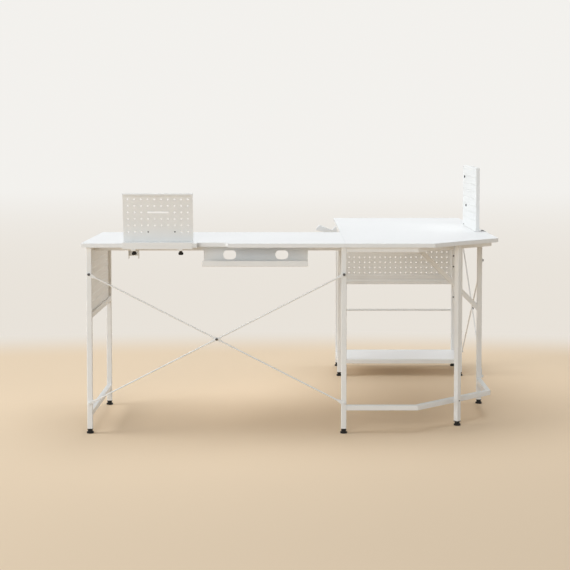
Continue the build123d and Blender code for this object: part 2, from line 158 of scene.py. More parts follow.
# Places (y, z) on the large pegboard's face
LARGE_STUDS = ((0.189, 0.940), (0.135, 0.816))
LARGE_SCREW = (0.224, 0.728)
FLANGE_RELIEF = 2.4 * MM
TRAY_LIP = 21 * MM
TRAY_SLOT_WIDTH = 50 * MM
TRAY_SLOT_HEIGHT = 36 * MM
TRAY_SLOT_LEVEL = 36 * MM
TRAY_SLOT_SPACING = 199 * MM

# Edge clamps
CLAMP_PLATE = 2 * MM
CLAMP_BEND = 3 * MM
CLAMP_REACH = 46 * MM
SMALL_CLAMP_WIDTH = 18 * MM
LARGE_CLAMP_WIDTH = 36 * MM
SCREW_MARGIN = 14 * MM
TAB_CORNER = 5 * MM
TAB_SETBACK = 43.8 * MM
CLAMP_BOLT_SETBACK = 11 * MM

# Saddle hook, as places from the board's edge and top
HOOK_SHEET = 2.5 * MM
HOOK_GAP = 14 * MM
HOOK_VALLEY = 33 * MM
HOOK_NOSE = 85 * MM
HOOK_REACH = 102 * MM
HOOK_CREST_RISE = 28 * MM
HOOK_VALLEY_RISE = 4 * MM
HOOK_NOSE_RISE = 27 * MM
HOOK_LIP_RISE = 8 * MM
HOOK_CHEEK_DROP = 6 * MM
HOOK_CHEEK_REACH = 58 * MM
HOOK_BEND = 5 * MM
HOOK_CREST_RADIUS = 4 * MM
HOOK_VALLEY_RADIUS = 12 * MM
HOOK_NOSE_RADIUS = 8 * MM
HOOK_LAP = 0.4 * MM
HOOK_CHEEK_INSET = 0.15 * MM

# Turned pieces, as (radius, height) profiles with their steps round the axis
PAN_HEAD = in_mm((3.9, 0), (3.9, 0.7), (3.3, 1.6), (1.9, 2.2), (1.6, 1.2))
SMALL_HEAD = in_mm((2.8, 0), (2.8, 0.5), (2.2, 1.3), (1.2, 1.6), (1.1, 0.9))
HEAD_STEPS = 20
STUD = in_mm((5.0, 0), (5.0, 2.4), (4.4, 3.4), (2.6, 4.0), (2.2, 2.6))
STUD_STEPS = 24
CLAMP_BOLT = in_mm((6.0, 0), (6.0, 1.2), (5.4, 2.2), (3.0, 2.8), (2.6, 1.4))
CLAMP_BOLT_STEPS = 32
WELD = in_mm((6.4, 0), (6.0, 0.7), (5.3, 2.0), (5.0, 3.6))
GUARD_STEPS = 24
FOOT_PROFILE = in_mm(
    (12.2, 0), (13.0, 0.4), (13.5, 1.4), (13.5, 5.2), (13.0, 6.2),
    (11.6, 7.1), (10.0, 8.0), (9.4, 9.2), (9.0, 14.2), (8.4, 15),
)
FOOT_STEPS = 40
KNOB_PROFILE = in_mm(
    (3.0, 0.2), (6.4, 0), (8.6, 0.9), (9.8, 2.8), (10.0, 6.0),
    (9.6, 8.2), (8.2, 9.9), (6.2, 11.2), (5.6, 13.0), (5.4, 16.0),
)
KNOB_STEPS = 60
KNOB_LOBES = 5
KNOB_LOBE_DEPTH = 0.2
PAD_THICKNESS = 3 * MM
PAD_PROFILE = in_mm((6.2, 0), (7.0, 0.6), (7.0, 2.4), (6.4, 3))
PAD_STEPS = 32

# Threads
THREAD_RADIUS = 4 * MM
THREAD_DEPTH = 0.45 * MM
THREAD_PITCH = 1.5 * MM
THREAD_STEPS = 18
THREAD_ROWS = 4
THREAD_LAP = 0.2 * MM

# CAD nodes that keep their own shape
CAD_WELD = 0.02 * MM
CAD_BEVEL = 0.4 * MM
CAD_BEVEL_STEPS = 2
CAD_BEVEL_ANGLE = 40


# Materials

CLOUD_DETAIL, GRAIN_DETAIL, PLAIN_DETAIL = 4.0, 3.0, 2.0
SHEEN_SCALE = 7
COARSE_SCALE = 0.35
COARSE_DEPTH = 2
COARSE_STRENGTH, GRAIN_STRENGTH = 0.25, 0.5
RAMP_START, RAMP_END = 0.35, 0.65


def shader(name, color, roughness, metallic=0.0):
    """A new material, with its node tree and main shader."""
    material = bpy.data.materials.new(name)
    material.use_nodes = True
    tree = material.node_tree
    main = tree.nodes["Principled BSDF"]
    main.inputs["Base Color"].default_value = (*color, 1)
    main.inputs["Roughness"].default_value = roughness
    main.inputs["Metallic"].default_value = metallic
    return material, tree, main


def add(tree, kind, **inputs):
    """A node of a kind, with its inputs set by name."""
    node = tree.nodes.new(kind)
    for key, value in inputs.items():
        node.inputs[key.replace("_", " ")].default_value = value
    return node


def noise(tree, scale, detail):
    """Noise in the object's own space, with a number of waves to the metre."""
    place = add(tree, "ShaderNodeTexCoord")
    texture = add(tree, "ShaderNodeTexNoise", Scale=scale, Detail=detail)
    tree.links.new(place.outputs["Object"], texture.inputs["Vector"])
    return texture.outputs["Fac"]


def ramp(tree, value, low, high, start=RAMP_START, end=RAMP_END):
    """A value between start and end turned into a colour between low and high."""
    node = tree.nodes.new("ShaderNodeValToRGB")
    node.color_ramp.elements[0].position = start
    node.color_ramp.elements[1].position = end
    node.color_ramp.elements[0].color = (*low, 1)
    node.color_ramp.elements[1].color = (*high, 1)
    tree.links.new(value, node.inputs["Fac"])
    return node.outputs["Color"]


def span(tree, value, low, high):
    """A value of 0 to 1 moved to low to high."""
    node = add(tree, "ShaderNodeMapRange", To_Min=low, To_Max=high)
    tree.links.new(value, node.inputs["Value"])
    return node.outputs["Result"]


def bump(tree, main, heights):
    """Bumps in the shader's normal, from (height, strength, depth in metres) of coarse to fine."""
    last = None
    for height, strength, depth in heights:
        node = add(tree, "ShaderNodeBump", Strength=strength, Distance=depth)
        tree.links.new(height, node.inputs["Height"])
        if last is not None:
            tree.links.new(last.outputs["Normal"], node.inputs["Normal"])
        last = node
    tree.links.new(last.outputs["Normal"], main.inputs["Normal"])


def surface(name, low, high, rough, mottle, grain, grain_depth, metallic=0.0, gloss=0.5):
    """A finish with a soft colour mottle, uneven gloss and a fine surface grain."""
    material, tree, main = shader(name, high, rough[1], metallic)
    main.inputs["Specular IOR Level"].default_value = gloss
    cloud = noise(tree, mottle, CLOUD_DETAIL)
    tree.links.new(ramp(tree, cloud, low, high), main.inputs["Base Color"])
    sheen = noise(tree, mottle * SHEEN_SCALE, PLAIN_DETAIL)
    tree.links.new(span(tree, sheen, *rough), main.inputs["Roughness"])
    coarse = noise(tree, grain * COARSE_SCALE, PLAIN_DETAIL)
    fine = noise(tree, grain, GRAIN_DETAIL)
    bump(tree, main, [
        (coarse, COARSE_STRENGTH, grain_depth * COARSE_DEPTH),
        (fine, GRAIN_STRENGTH, grain_depth),
    ])
    return material


LAMINATE = surface(
    "white_laminate",
    low=(0.866, 0.871, 0.876),
    high=(0.876, 0.881, 0.886),
    rough=(0.37, 0.45),
    mottle=22,
    grain=1400,
    grain_depth=0.03 * MM,
)
EDGE_BAND = surface(
    "white_edge_band",
    low=(0.80, 0.815, 0.82),
    high=(0.82, 0.835, 0.84),
    rough=(0.40, 0.52),
    mottle=30,
    grain=900,
    grain_depth=0.03 * MM,
)
POWDER = surface(
    "white_powder_coat",
    low=(0.793, 0.803, 0.798),
    high=(0.811, 0.821, 0.816),
    rough=(0.36, 0.50),
    mottle=18,
    grain=1100,
    grain_depth=0.06 * MM,
)
BLACK_PLASTIC = surface(
    "black_moulded_plastic",
    low=(0.007, 0.0065, 0.006),
    high=(0.014, 0.013, 0.012),
    rough=(0.50, 0.64),
    mottle=60,
    grain=2600,
    grain_depth=0.08 * MM,
    gloss=0.35,
)
DARK_ZINC = surface(
    "dark_zinc_steel",
    low=(0.10, 0.10, 0.105),
    high=(0.20, 0.20, 0.205),
    rough=(0.28, 0.44),
    mottle=160,
    grain=3000,
    grain_depth=0.03 * MM,
    metallic=0.9,
)
BOARD, COAT, PLASTIC, ZINC = "melamine_board", "powder_coat", "black_plastic", "zinc_steel"
FINISHES = {BOARD: LAMINATE, COAT: POWDER, PLASTIC: BLACK_PLASTIC, ZINC: DARK_ZINC}


# Pieces

def to_mesh(name, build):
    """A closed mesh from a bmesh, with outward normals and smooth shading that keeps sharp edges."""
    bmesh.ops.remove_doubles(build, verts=build.verts, dist=MERGE)
    bmesh.ops.recalc_face_normals(build, faces=build.faces)
    mesh = bpy.data.meshes.new(name)
    build.to_mesh(mesh)
    build.free()
    mesh.polygons.foreach_set("use_smooth", [True] * len(mesh.polygons))
    mesh.set_sharp_from_angle(angle=math.radians(SMOOTH_ANGLE))
    return mesh


def piece(name, mesh, materials, body, slot, *nodes):
    """Link a mesh as a piece that rides on a body and stands for its CAD nodes."""
    made = bpy.data.objects.new(name, mesh)
    bpy.context.scene.collection.objects.link(made)
    for material in materials:
        mesh.materials.append(material)
    flats = made.modifiers.new("flat_faces", "WEIGHTED_NORMAL")
    flats.keep_sharp = True
    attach(made, body)
    if nodes:
        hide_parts(*nodes)


def coated(name, node, build, body="frame"):
    """A powder-coated piece that stands for a CAD node."""
    piece(name, to_mesh(node, build), [POWDER], body, COAT, node)


def fittings(name, build, body, slot):
    """Small fittings that are added to a body."""
    piece(name, to_mesh(name, build), [FINISHES[slot]], body, slot)


def body_of(node):
    """The CAD body that a node belongs to."""
    return frame["nodes"][node]["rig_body"]


def middle_of(node):
    """The middle of a CAD node's box."""
    low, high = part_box(node)
    return (low + high) / 2


# Shapes

def skin(build, loops):
    """Quads between neighbouring closed loops of vertices."""
    for first, second in zip(loops, loops[1:]):
        count = len(first)
        for i in range(count):
            j = (i + 1) % count
            build.faces.new((first[i], first[j], second[j], second[i]))


def add_closed(build, loops):
    """A skin over loops of vertices, closed by a face at each end."""
    skin(build, loops)
    build.faces.new(loops[0][::-1])
    build.faces.new(loops[-1])


def rounded_square(half, radius):
    """The points of a square section with rounded corners."""
    points = []
    for quarter in range(4):
        for step in range(TUBE_STEPS + 1):
            angle = (quarter + step / TUBE_STEPS) * math.pi / 2
            corner = Matrix.Rotation(quarter * math.pi / 2, 2) @ Vector((half - radius, half - radius))
            points.append(corner + radius * Vector((math.cos(angle), math.sin(angle))))
    return points


def add_tube(build, points, up, cuts=None):
    """A hollow square tube along points, mitred at bends; cuts are the normals of its two end faces."""
    runs = [(b - a).normalized() for a, b in zip(points, points[1:])]
    first, last = cuts or (runs[0], runs[-1])
    normals = [first, *[a + b for a, b in zip(runs, runs[1:])], last]
    shells = []
    inner_half = TUBE_HALF - TUBE_WALL
    for half, radius in ((TUBE_HALF, TUBE_RADIUS), (inner_half, TUBE_RADIUS - TUBE_WALL)):
        loops = []
        for i, (point, normal) in enumerate(zip(points, normals)):
            run = runs[min(i, len(runs) - 1)]
            side = run.cross(up)
            loop = []
            for u, v in rounded_square(half, radius):
                away = side * u + up * v
                loop.append(build.verts.new(point + away - run * (away.dot(normal) / run.dot(normal))))
            loops.append(loop)
        shells.append(loops)
        skin(build, loops)
    for end in (0, -1):
        skin(build, [shells[0][end], shells[1][end]])


def add_lathe(build, profile, steps, place, lobes=0, lobe_depth=0.0):
    """A turned form from (radius, height) pairs about an axis; lobes press waves into its radius."""
    loops = []
    for radius, height in profile:
        loop = []
        for i in range(steps):
            angle = 2 * math.pi * i / steps
            wave = 1 - lobe_depth * (1 - math.cos(lobes * angle)) / 2
            spot = Vector((radius * wave * math.cos(angle), radius * wave * math.sin(angle), height))
            loop.append(build.verts.new(place @ spot))
        loops.append(loop)
    add_closed(build, loops)


def add_thread(build, low, high, place):
    """A threaded stem between two heights, as one helical ridge."""
    rows = max(2, round((high - low) / THREAD_PITCH * THREAD_ROWS))
    loops = []
    for row in range(rows + 1):
        height = low + (high - low) * row / rows
        loop = []
        for i in range(THREAD_STEPS):
            turn = (height / THREAD_PITCH - i / THREAD_STEPS) % 1
            radius = THREAD_RADIUS - THREAD_DEPTH * abs(2 * turn - 1)
            angle = 2 * math.pi * i / THREAD_STEPS
            spot = Vector((radius * math.cos(angle), radius * math.sin(angle), height))
            loop.append(build.verts.new(place @ spot))
        loops.append(loop)
    add_closed(build, loops)


def fillet(corners, steps=CORNER_STEPS):
    """A closed outline from (x, y, radius) corners, with each corner rounded."""
    points = []
    count = len(corners)
    for i, (x, y, radius) in enumerate(corners):
        corner = Vector((x, y))
        if radius <= 0:
            points.append(corner)
            continue
        back = (Vector(corners[i - 1][:2]) - corner).normalized()
        ahead = (Vector(corners[(i + 1) % count][:2]) - corner).normalized()
        half = back.angle(ahead) / 2
        middle = corner + (back + ahead).normalized() * (radius / math.sin(half))
        start = corner + back * (radius / math.tan(half)) - middle
        turn = start.angle_signed(corner + ahead * (radius / math.tan(half)) - middle)
        for step in range(steps + 1):
            points.append(middle + Matrix.Rotation(-turn * step / steps, 2) @ start)
    return points


def open_path(corners):
    """An open line from (x, y, radius) corners, with its bends rounded."""
    ends = (Vector(corners[0][:2]), Vector(corners[-1][:2]))
    return [ends[0], *fillet(corners, BEND_STEPS)[1:-1], ends[1]]


def bent(points):
    """An open line with each inner corner rounded to the sheet's bend."""
    first, *inner, last = [(p.x, p.y) for p in points]
    return open_path([(*first, 0), *[(*p, BEND_RADIUS) for p in inner], (*last, 0)])


def offset_line(points, distance):
    """An open line moved to its left by a distance, with mitred corners."""
    moved = []
    for i, point in enumerate(points):
        before = (point - points[i - 1]).normalized() if i else (points[1] - point).normalized()
        after = (points[i + 1] - point).normalized() if i + 1 < len(points) else before
        mean = (before + after).normalized()
        moved.append(point + Vector((-mean.y, mean.x)) * (distance / mean.dot(after)))
    return moved


def rectangle(x0, y0, x1, y1):
    """A plain rectangle between two corners."""
    return [Vector(p) for p in ((x0, y0), (x1, y0), (x1, y1), (x0, y1))]


def circle(x, y, radius):
    """A round hole's outline."""
    turns = [2 * math.pi * i / HOLE_STEPS for i in range(HOLE_STEPS)]
    return [Vector((x + radius * math.cos(t), y + radius * math.sin(t))) for t in turns]


def obround(x, y, length, height):
    """A slot's outline with round ends."""
    reach = (length - height) / 2
    points = []
    for side, start in ((1, -math.pi / 2), (-1, math.pi / 2)):
        for step in range(SLOT_STEPS + 1):
            angle = start + math.pi * step / SLOT_STEPS
            points.append(Vector((
                x + side * reach + height / 2 * math.cos(angle),
                y + height / 2 * math.sin(angle),
            )))
    return points


def holes(columns, rows, first_x, first_y, pitch, skip=()):
    """Round holes on a square pitch, apart from the skipped (column, row) pairs."""
    spots = [(c, r) for r in range(rows) for c in range(columns) if (c, r) not in skip]
    return [circle(first_x + c * pitch, first_y + r * pitch, HOLE_RADIUS) for c, r in spots]


def holes_along(room, pitch):
    """How many holes a room takes, with one at each end."""
    return int(room / pitch + COUNT_SLACK) + 1


def add_plate(build, outlines, thickness, place, edge=0.0):
    """A plate of an outline with holes, centred on the place's plane, with its edges rounded."""
    curve = bpy.data.curves.new("plate", "CURVE")
    curve.dimensions = "2D"
    curve.fill_mode = "BOTH"
    curve.extrude = thickness / 2 - edge
    curve.bevel_depth = edge
    curve.bevel_resolution = PLATE_EASE_STEPS
    curve.offset = -edge
    for outline in outlines:
        spline = curve.splines.new("POLY")
        spline.points.add(len(outline) - 1)
        for point, spot in zip(spline.points, outline):
            point.co = (*spot, 0, 1)
        spline.use_cyclic_u = True
    carrier = bpy.data.objects.new("plate", curve)
    mesh = bpy.data.meshes.new_from_object(carrier)
    bpy.data.objects.remove(carrier)
    bpy.data.curves.remove(curve)
    mesh.transform(place)
    build.from_mesh(mesh)
    bpy.data.meshes.remove(mesh)


def add_folded(build, path, thickness, origin, across, up, along, length):
    """A folded strip: path is its centreline in (across, up), and it runs a length along."""
    count = len(path)
    ring = offset_line(path, thickness / 2) + offset_line(path, -thickness / 2)[::-1]
    loops = []
    for shift in (0, length):
        loops.append([
            build.verts.new(origin + across * p.x + up * p.y + along * shift) for p in ring
        ])
    skin(build, loops)
    for loop in loops:
        for i in range(count - 1):
            j = len(loop) - 1 - i
            build.faces.new((loop[i], loop[i + 1], loop[j - 1], loop[j]))


def axes(origin, x, y):
    """The place whose x and y axes run along the given directions."""
    z = x.cross(y)
    return Matrix((
        (x.x, y.x, z.x, origin.x),
        (x.y, y.y, z.y, origin.y),
        (x.z, y.z, z.z, origin.z),
        (0, 0, 0, 1),
    ))


def place_on(spot, outward):
    """The place at a spot whose z axis points outward."""
    turn = outward.to_track_quat("Z", "Y").to_matrix().to_4x4()
    return Matrix.Translation(spot) @ turn


# Tube frame

STRAIGHT_TUBES = (
    "left_rear_leg", "left_front_leg", "left_top_rail", "left_panel_rail", "left_low_rail",
    "left_joint_leg", "right_joint_leg", "left_seam_rail", "right_seam_rail",
    "rack_middle_rear_leg", "rack_middle_front_leg", "rack_middle_top_rail",
    "rack_end_rear_leg", "rack_end_front_leg", "rack_end_top_rail", "rack_panel_rail",
    "left_stretcher", "right_stretcher",
)


def straight_tube(node, tube_y=None):
    """A rounded tube along the longest side of a CAD tube's box, and at tube_y where the box is wider."""
    low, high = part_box(node)
    size = high - low
    long = max(range(3), key=lambda i: size[i])
    middle = (low + high) / 2
    if tube_y is not None:
        middle.y = tube_y
    start, end = middle.copy(), middle.copy()
    start[long], end[long] = low[long], high[long]
    up = Z_AXIS if long != 2 else Y_AXIS
    build = bmesh.new()
    add_tube(build, [start, end], up)
    return build


def straight_tubes():
    """The straight legs, rails and stretchers."""
    for node in STRAIGHT_TUBES:
        coated(f"{node}_tube", node, straight_tube(node))


def shelf_rails():
    """The rack's low rails, each with the ledge that the shelf lies on."""
    shelf_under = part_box("rack_shelf")[0].z
    level = Matrix.Translation((0, 0, shelf_under - LEDGE_THICKNESS / 2))
    for node, inward in (("rack_middle_low_rail", 1), ("rack_end_low_rail", -1)):
        low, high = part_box(node)
        tube_y = low.y + TUBE_HALF if inward > 0 else high.y - TUBE_HALF
        ledge_low = tube_y + inward * TUBE_HALF
        ledge_high = high.y if inward > 0 else low.y
        outline = fillet([
            (low.x, ledge_low, 0),
            (high.x, ledge_low, 0),
            (high.x, ledge_high, BOARD_CORNER),
            (low.x, ledge_high, BOARD_CORNER),
        ])
        build = straight_tube(node, tube_y)
        add_plate(build, [outline], LEDGE_THICKNESS, level, PLATE_EASE)
        coated(f"{node}_tube", node, build)


def chamfer_leg():
    """The leg of the cut corner, turned by 45 degrees."""
    low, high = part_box("chamfer_leg")
    middle = (low + high) / 2
    foot, top = middle.copy(), middle.copy()
    foot.z, top.z = low.z, high.z
    build = bmesh.new()
    add_tube(build, [foot, top], Vector((1, 1, 0)).normalized())
    coated("chamfer_leg_tube", "chamfer_leg", build)


def corner_rails():
    """The two rails that are bent round the cut corner."""
    side = -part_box("left_board")[0].x
    for node in ("corner_top_rail", "corner_low_rail"):
        low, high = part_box(node)
        level = (low.z + high.z) / 2
        near = low.y + TUBE_HALF
        right = high.x - TUBE_HALF
        cut = RAIL_CUT + TUBE_HALF * math.sqrt(2) - (side - right)
        build = bmesh.new()
        add_tube(build, [
            Vector((low.x, near, level)),
            Vector((side - cut, near, level)),
            Vector((right, cut - side, level)),
            Vector((right, high.y, level)),
        ], Z_AXIS)
        coated(f"{node}_tube", node, build)


def knee_braces():
    """The 45 degree braces under the corner board, cut to lie on the legs and the boards."""
    shift = TUBE_HALF * math.sqrt(2)
    for node, inward, up in (("left_knee_brace", Y_AXIS, X_AXIS), ("right_knee_brace", -X_AXIS, Y_AXIS)):
        low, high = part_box(node)
        middle = (low + high) / 2
        half_rise = (high.z - low.z) / 2
        lower = middle - inward * half_rise - Z_AXIS * (half_rise - shift)
        upper = middle + inward * (half_rise - shift) + Z_AXIS * half_rise
        build = bmesh.new()
        add_tube(build, [lower, upper], up, (inward, Z_AXIS))
        coated(f"{node}_tube", node, build)


# Boards

def board(node, corners):
    """A laminated board with banded, eased edges."""
    low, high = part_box(node)
    build = bmesh.new()
    level = Matrix.Translation((0, 0, (low.z + high.z) / 2))
    add_plate(build, [fillet(corners)], high.z - low.z, level, EDGE_RADIUS)
    mesh = to_mesh(node, build)
    piece(f"{node}_panel", mesh, [LAMINATE, EDGE_BAND], "frame", BOARD, node)
    for face in mesh.polygons:
        face.material_index = 0 if abs(face.normal.z) > BOARD_FACE_NORMAL else 1


def boards():
    """The two wings, the corner board and the rack's shelf."""
    low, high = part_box("left_board")
    notch = low.x + NOTCH_START
    board("left_board", [
        (low.x, low.y, BOARD_CORNER),
        (notch, low.y, EDGE_RADIUS),
        (notch, low.y + NOTCH_DEPTH, NOTCH_RADIUS),
        (notch + NOTCH_WIDTH, low.y + NOTCH_DEPTH, NOTCH_RADIUS),
        (notch + NOTCH_WIDTH, low.y, EDGE_RADIUS),
        (high.x, low.y, EDGE_RADIUS),
        (high.x, high.y, EDGE_RADIUS),
        (low.x, high.y, BOARD_CORNER),
    ])
    low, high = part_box("corner_board")
    board("corner_board", [
        (low.x, low.y, EDGE_RADIUS),
        (high.x - CHAMFER_CUT, low.y, BOARD_CORNER),
        (high.x, low.y + CHAMFER_CUT, BOARD_CORNER),
        (high.x, high.y, EDGE_RADIUS),
        (low.x, high.y, EDGE_RADIUS),
    ])
    for node, far_corner in (("right_board", BOARD_CORNER), ("rack_shelf", EDGE_RADIUS)):
        low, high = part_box(node)
        board(node, [
            (low.x, low.y, EDGE_RADIUS),
            (high.x, low.y, EDGE_RADIUS),
            (high.x, high.y, far_corner),
            (low.x, high.y, far_corner),
        ])


# Perforated panels

def end_panel(node, run):
    """A flat perforated panel between the rails of an end frame; the one along x has a folded hem."""
    low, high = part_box(node)
    width = (high - low).dot(run)
    height = high.z - low.z
    columns = holes_along(width - 2 * PANEL_SIDE_MARGIN, PITCH)
    rows = holes_along(height - PANEL_LOW_MARGIN - PANEL_TOP_MARGIN, PITCH)
    first = (width - (columns - 1) * PITCH) / 2
    cut = holes(columns, rows, first, PANEL_LOW_MARGIN, PITCH)
    middle = (low + high) / 2
    origin = Vector((low.x if run.x else middle.x, low.y if run.y else middle.y, low.z))
    build = bmesh.new()
    if run.x:
        origin.y = high.y - SHEET / 2
        fold = [(0, HEM_HEIGHT, 0), (HEM_DEPTH, HEM_HEIGHT, BEND_RADIUS), (HEM_DEPTH, 0, 0)]
        add_folded(build, open_path(fold), SHEET, origin, -Y_AXIS, Z_AXIS, run, width)
    plate = [rectangle(0, 0, width, height), *cut]
    add_plate(build, plate, SHEET, axes(origin, run, Z_AXIS))
    coated(f"{node}_sheet", node, build)


def small_pegboard():
    """A folded sheet: skirt, flange on the clamps, leaning perforated plate and top lip."""
    node = "small_pegboard"
    low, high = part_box(node)
    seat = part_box("small_clamps")[1].z
    width = high.x - low.x
    inner = low.y + SHEET
    head_y = high.y - PEG_LEAN
    foot = Vector((high.y, seat))
    head = Vector((head_y, high.z))
    rise = head - foot
    up = rise.normalized()
    line = offset_line([
        Vector((inner, low.z)),
        Vector((inner, seat)),
        foot,
        head,
        Vector((head_y - PEG_FLANGE, high.z)),
        Vector((head_y - PEG_FLANGE, high.z - PEG_LIP)),
    ], SHEET / 2)
    plate_low = line[2] + up * PLATE_INSET
    plate_high = line[3] - up * PLATE_INSET
    origin = Vector((low.x, 0, 0))
    build = bmesh.new()
    for fold in ([*line[:3], plate_low], [plate_high, *line[3:]]):
        add_folded(build, bent(fold), SHEET, origin, Y_AXIS, Z_AXIS, X_AXIS, width)
    shift = (plate_low - foot).dot(up)
    height = (plate_high - plate_low).length
    margin = (width - (PEG_COLUMNS - 1) * PITCH) / 2
    lowest = rise.length - PEG_FIRST_ROW - (PEG_ROWS - 1) * PITCH - shift
    slot_row = PEG_ROWS - 1 - PEG_SLOT_ROW
    skip = [(c, slot_row) for c in PEG_SLOT] + [(c, 0) for c in PEG_BARE]
    cut = holes(PEG_COLUMNS, PEG_ROWS, margin, lowest, PITCH, skip)
    slot_middle = margin + (PEG_SLOT[0] + PEG_SLOT[-1]) / 2 * PITCH
    slot_length = (PEG_SLOT[-1] - PEG_SLOT[0]) * PITCH + PEG_SLOT_HEIGHT
    cut.append(obround(slot_middle, lowest + slot_row * PITCH, slot_length, PEG_SLOT_HEIGHT))
    up_axis = Vector((0, up.x, up.y))
    place = axes(Vector((low.x, plate_low.x, plate_low.y)), X_AXIS, up_axis)
    add_plate(build, [rectangle(0, 0, width, height), *cut], SHEET, place)
    coated("small_pegboard_sheet", node, build, node)
    screws = bmesh.new()
    for column in (PEG_BARE[0], PEG_BARE[-1]):
        spot = place @ Vector((margin + column * PITCH, lowest, SHEET / 2))
        add_lathe(screws, SMALL_HEAD, HEAD_STEPS, place_on(spot, X_AXIS.cross(up_axis)))
    fittings("small_pegboard_screws", screws, node, ZINC)


def large_pegboard():
    """A perforated pan: three folded flanges round a plate that stands on its clamps."""
    node = "large_pegboard"
    low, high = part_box(node)
    width = high.y - low.y
    height = high.z - low.z
    face = low.x + SHEET / 2
    build = bmesh.new()
    foot = Vector((0, 0, low.z))
    for start, inward in ((low.y, 1), (high.y, -1)):
        edge = start + inward * SHEET / 2
        fold = [Vector((face, edge + inward * PLATE_INSET)), Vector((face, edge)), Vector((high.x, edge))]
        add_folded(build, bent(fold), SHEET, foot, X_AXIS, Y_AXIS, Z_AXIS, height - FLANGE_RELIEF)
    edge = high.z - SHEET / 2
    fold = [Vector((face, edge - PLATE_INSET)), Vector((face, edge)), Vector((high.x, edge))]
    side = Vector((0, low.y + FLANGE_RELIEF, 0))
    add_folded(build, bent(fold), SHEET, side, X_AXIS, Z_AXIS, Y_AXIS, width - 2 * FLANGE_RELIEF)
    columns = holes_along(width - 2 * LARGE_MARGIN, LARGE_PITCH)
    rows = holes_along(height - 2 * LARGE_MARGIN, LARGE_PITCH)
    first_y = (width - (columns - 1) * LARGE_PITCH) / 2
    first_z = (height - (rows - 1) * LARGE_PITCH) / 2
    inset = PLATE_INSET + SHEET / 2
    outline = rectangle(inset, 0, width - inset, height - inset)
    cut = holes(columns, rows, first_y, first_z, LARGE_PITCH)
    place = axes(Vector((face, low.y, low.z)), Y_AXIS, Z_AXIS)
    add_plate(build, [outline, *cut], SHEET, place)
    coated("large_pegboard_sheet", node, build, node)
    studs = bmesh.new()
    for y, z in LARGE_STUDS:
        add_lathe(studs, STUD, STUD_STEPS, place_on(Vector((low.x, y, z)), -X_AXIS))
    add_lathe(studs, SMALL_HEAD, HEAD_STEPS, place_on(Vector((low.x, *LARGE_SCREW)), -X_AXIS))
    fittings("large_pegboard_studs", studs, node, PLASTIC)


def cable_tray():
    """A trough folded from one sheet, with two slots through its rear wall."""
    low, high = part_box("cable_tray")
    floor_z = low.z + SHEET / 2
    wall_y = high.y - SHEET / 2
    lip_y = low.y + SHEET / 2
    length = high.x - low.x
    fold = [
        Vector((lip_y, low.z + TRAY_LIP)),
        Vector((lip_y, floor_z)),
        Vector((wall_y, floor_z)),
        Vector((wall_y, floor_z + PLATE_INSET)),
    ]
    build = bmesh.new()
    add_folded(build, bent(fold), SHEET, Vector((low.x, 0, 0)), Y_AXIS, Z_AXIS, X_AXIS, length)
    wall = rectangle(0, SHEET / 2 + PLATE_INSET, length, high.z - low.z)
    reach = TRAY_SLOT_SPACING / 2
    slots = [
        obround(length / 2 + side * reach, TRAY_SLOT_LEVEL, TRAY_SLOT_WIDTH, TRAY_SLOT_HEIGHT)
        for side in (-1, 1)
    ]
    place = axes(Vector((low.x, wall_y, low.z)), X_AXIS, Z_AXIS)
    add_plate(build, [wall, *slots], SHEET, place)
    coated("cable_tray_sheet", "cable_tray", build)


# Crossed braces, bolts and screws

def add_rod(build, start, end, outward, lift):
    """A round rod, hammered flat at both ends and where it crosses its partner."""
    run = (end - start).normalized()
    across = outward.cross(run)
    length = (end - start).length
    half = length / 2
    flat = (TAB_WIDTH, TAB_THICKNESS, TAB_SQUARE)
    rod = (2 * BRACE_RADIUS, 2 * BRACE_RADIUS, ROUND)
    crossing = (CROSSING_WIDTH, CROSSING_THICKNESS, CROSSING_SQUARE)
    stations = []
    for step in range(1, TAB_STEPS + 1):
        angle = step / TAB_STEPS * math.pi / 2
        reach = TAB_WIDTH / 2 * (1 - math.cos(angle)) - TAB_OVERHANG
        stations.append((reach, TAB_WIDTH * math.sin(angle), TAB_THICKNESS, TAB_SQUARE))
    tab_end = TAB_LENGTH - TAB_OVERHANG
    stations.append((tab_end - ROD_TAPER, *flat))
    stations.append((tab_end + ROD_TAPER, *rod))
    stations.append((half - CROSSING_LENGTH / 2 - ROD_TAPER, *rod))
    stations.append((half - CROSSING_FLAT / 2, *crossing))
    stations += [(length - s, *form) for s, *form in stations[::-1]]
    loops = []
    for reach, width, thickness, square in stations:
        loop = []
        for i in range(ROD_STEPS):
            angle = 2 * math.pi * (i + 0.5) / ROD_STEPS
            c, s = math.cos(angle), math.sin(angle)
            u = math.copysign(abs(c) ** (2 / square), c) * width / 2
            v = math.copysign(abs(s) ** (2 / square), s) * thickness / 2
            loop.append(build.verts.new(start + run * reach + across * u + outward * (lift + v)))
        loops.append(loop)
    add_closed(build, loops)


def add_bolt(build, spot, outward):
    """A hexagon head with an eased crown and a hexagon socket."""
    rings = [
        (BOLT_RADIUS, 0),
        (BOLT_RADIUS, BOLT_HEAD - BOLT_CROWN),
        (BOLT_RADIUS - BOLT_CROWN, BOLT_HEAD),
        (SOCKET_RADIUS, BOLT_HEAD),
        (SOCKET_RADIUS * SOCKET_TAPER, BOLT_HEAD / 2),
    ]
    add_lathe(build, rings, BOLT_SIDES, place_on(spot, outward))


def add_washer(build, spot, outward):
    """A small square washer under a bolt."""
    square = rectangle(-BOLT_RADIUS, -BOLT_RADIUS, BOLT_RADIUS, BOLT_RADIUS)
    place = place_on(spot + outward * (CROSSING_THICKNESS / 2), outward)
    add_plate(build, [square], CROSSING_THICKNESS, place, WASHER_EASE)


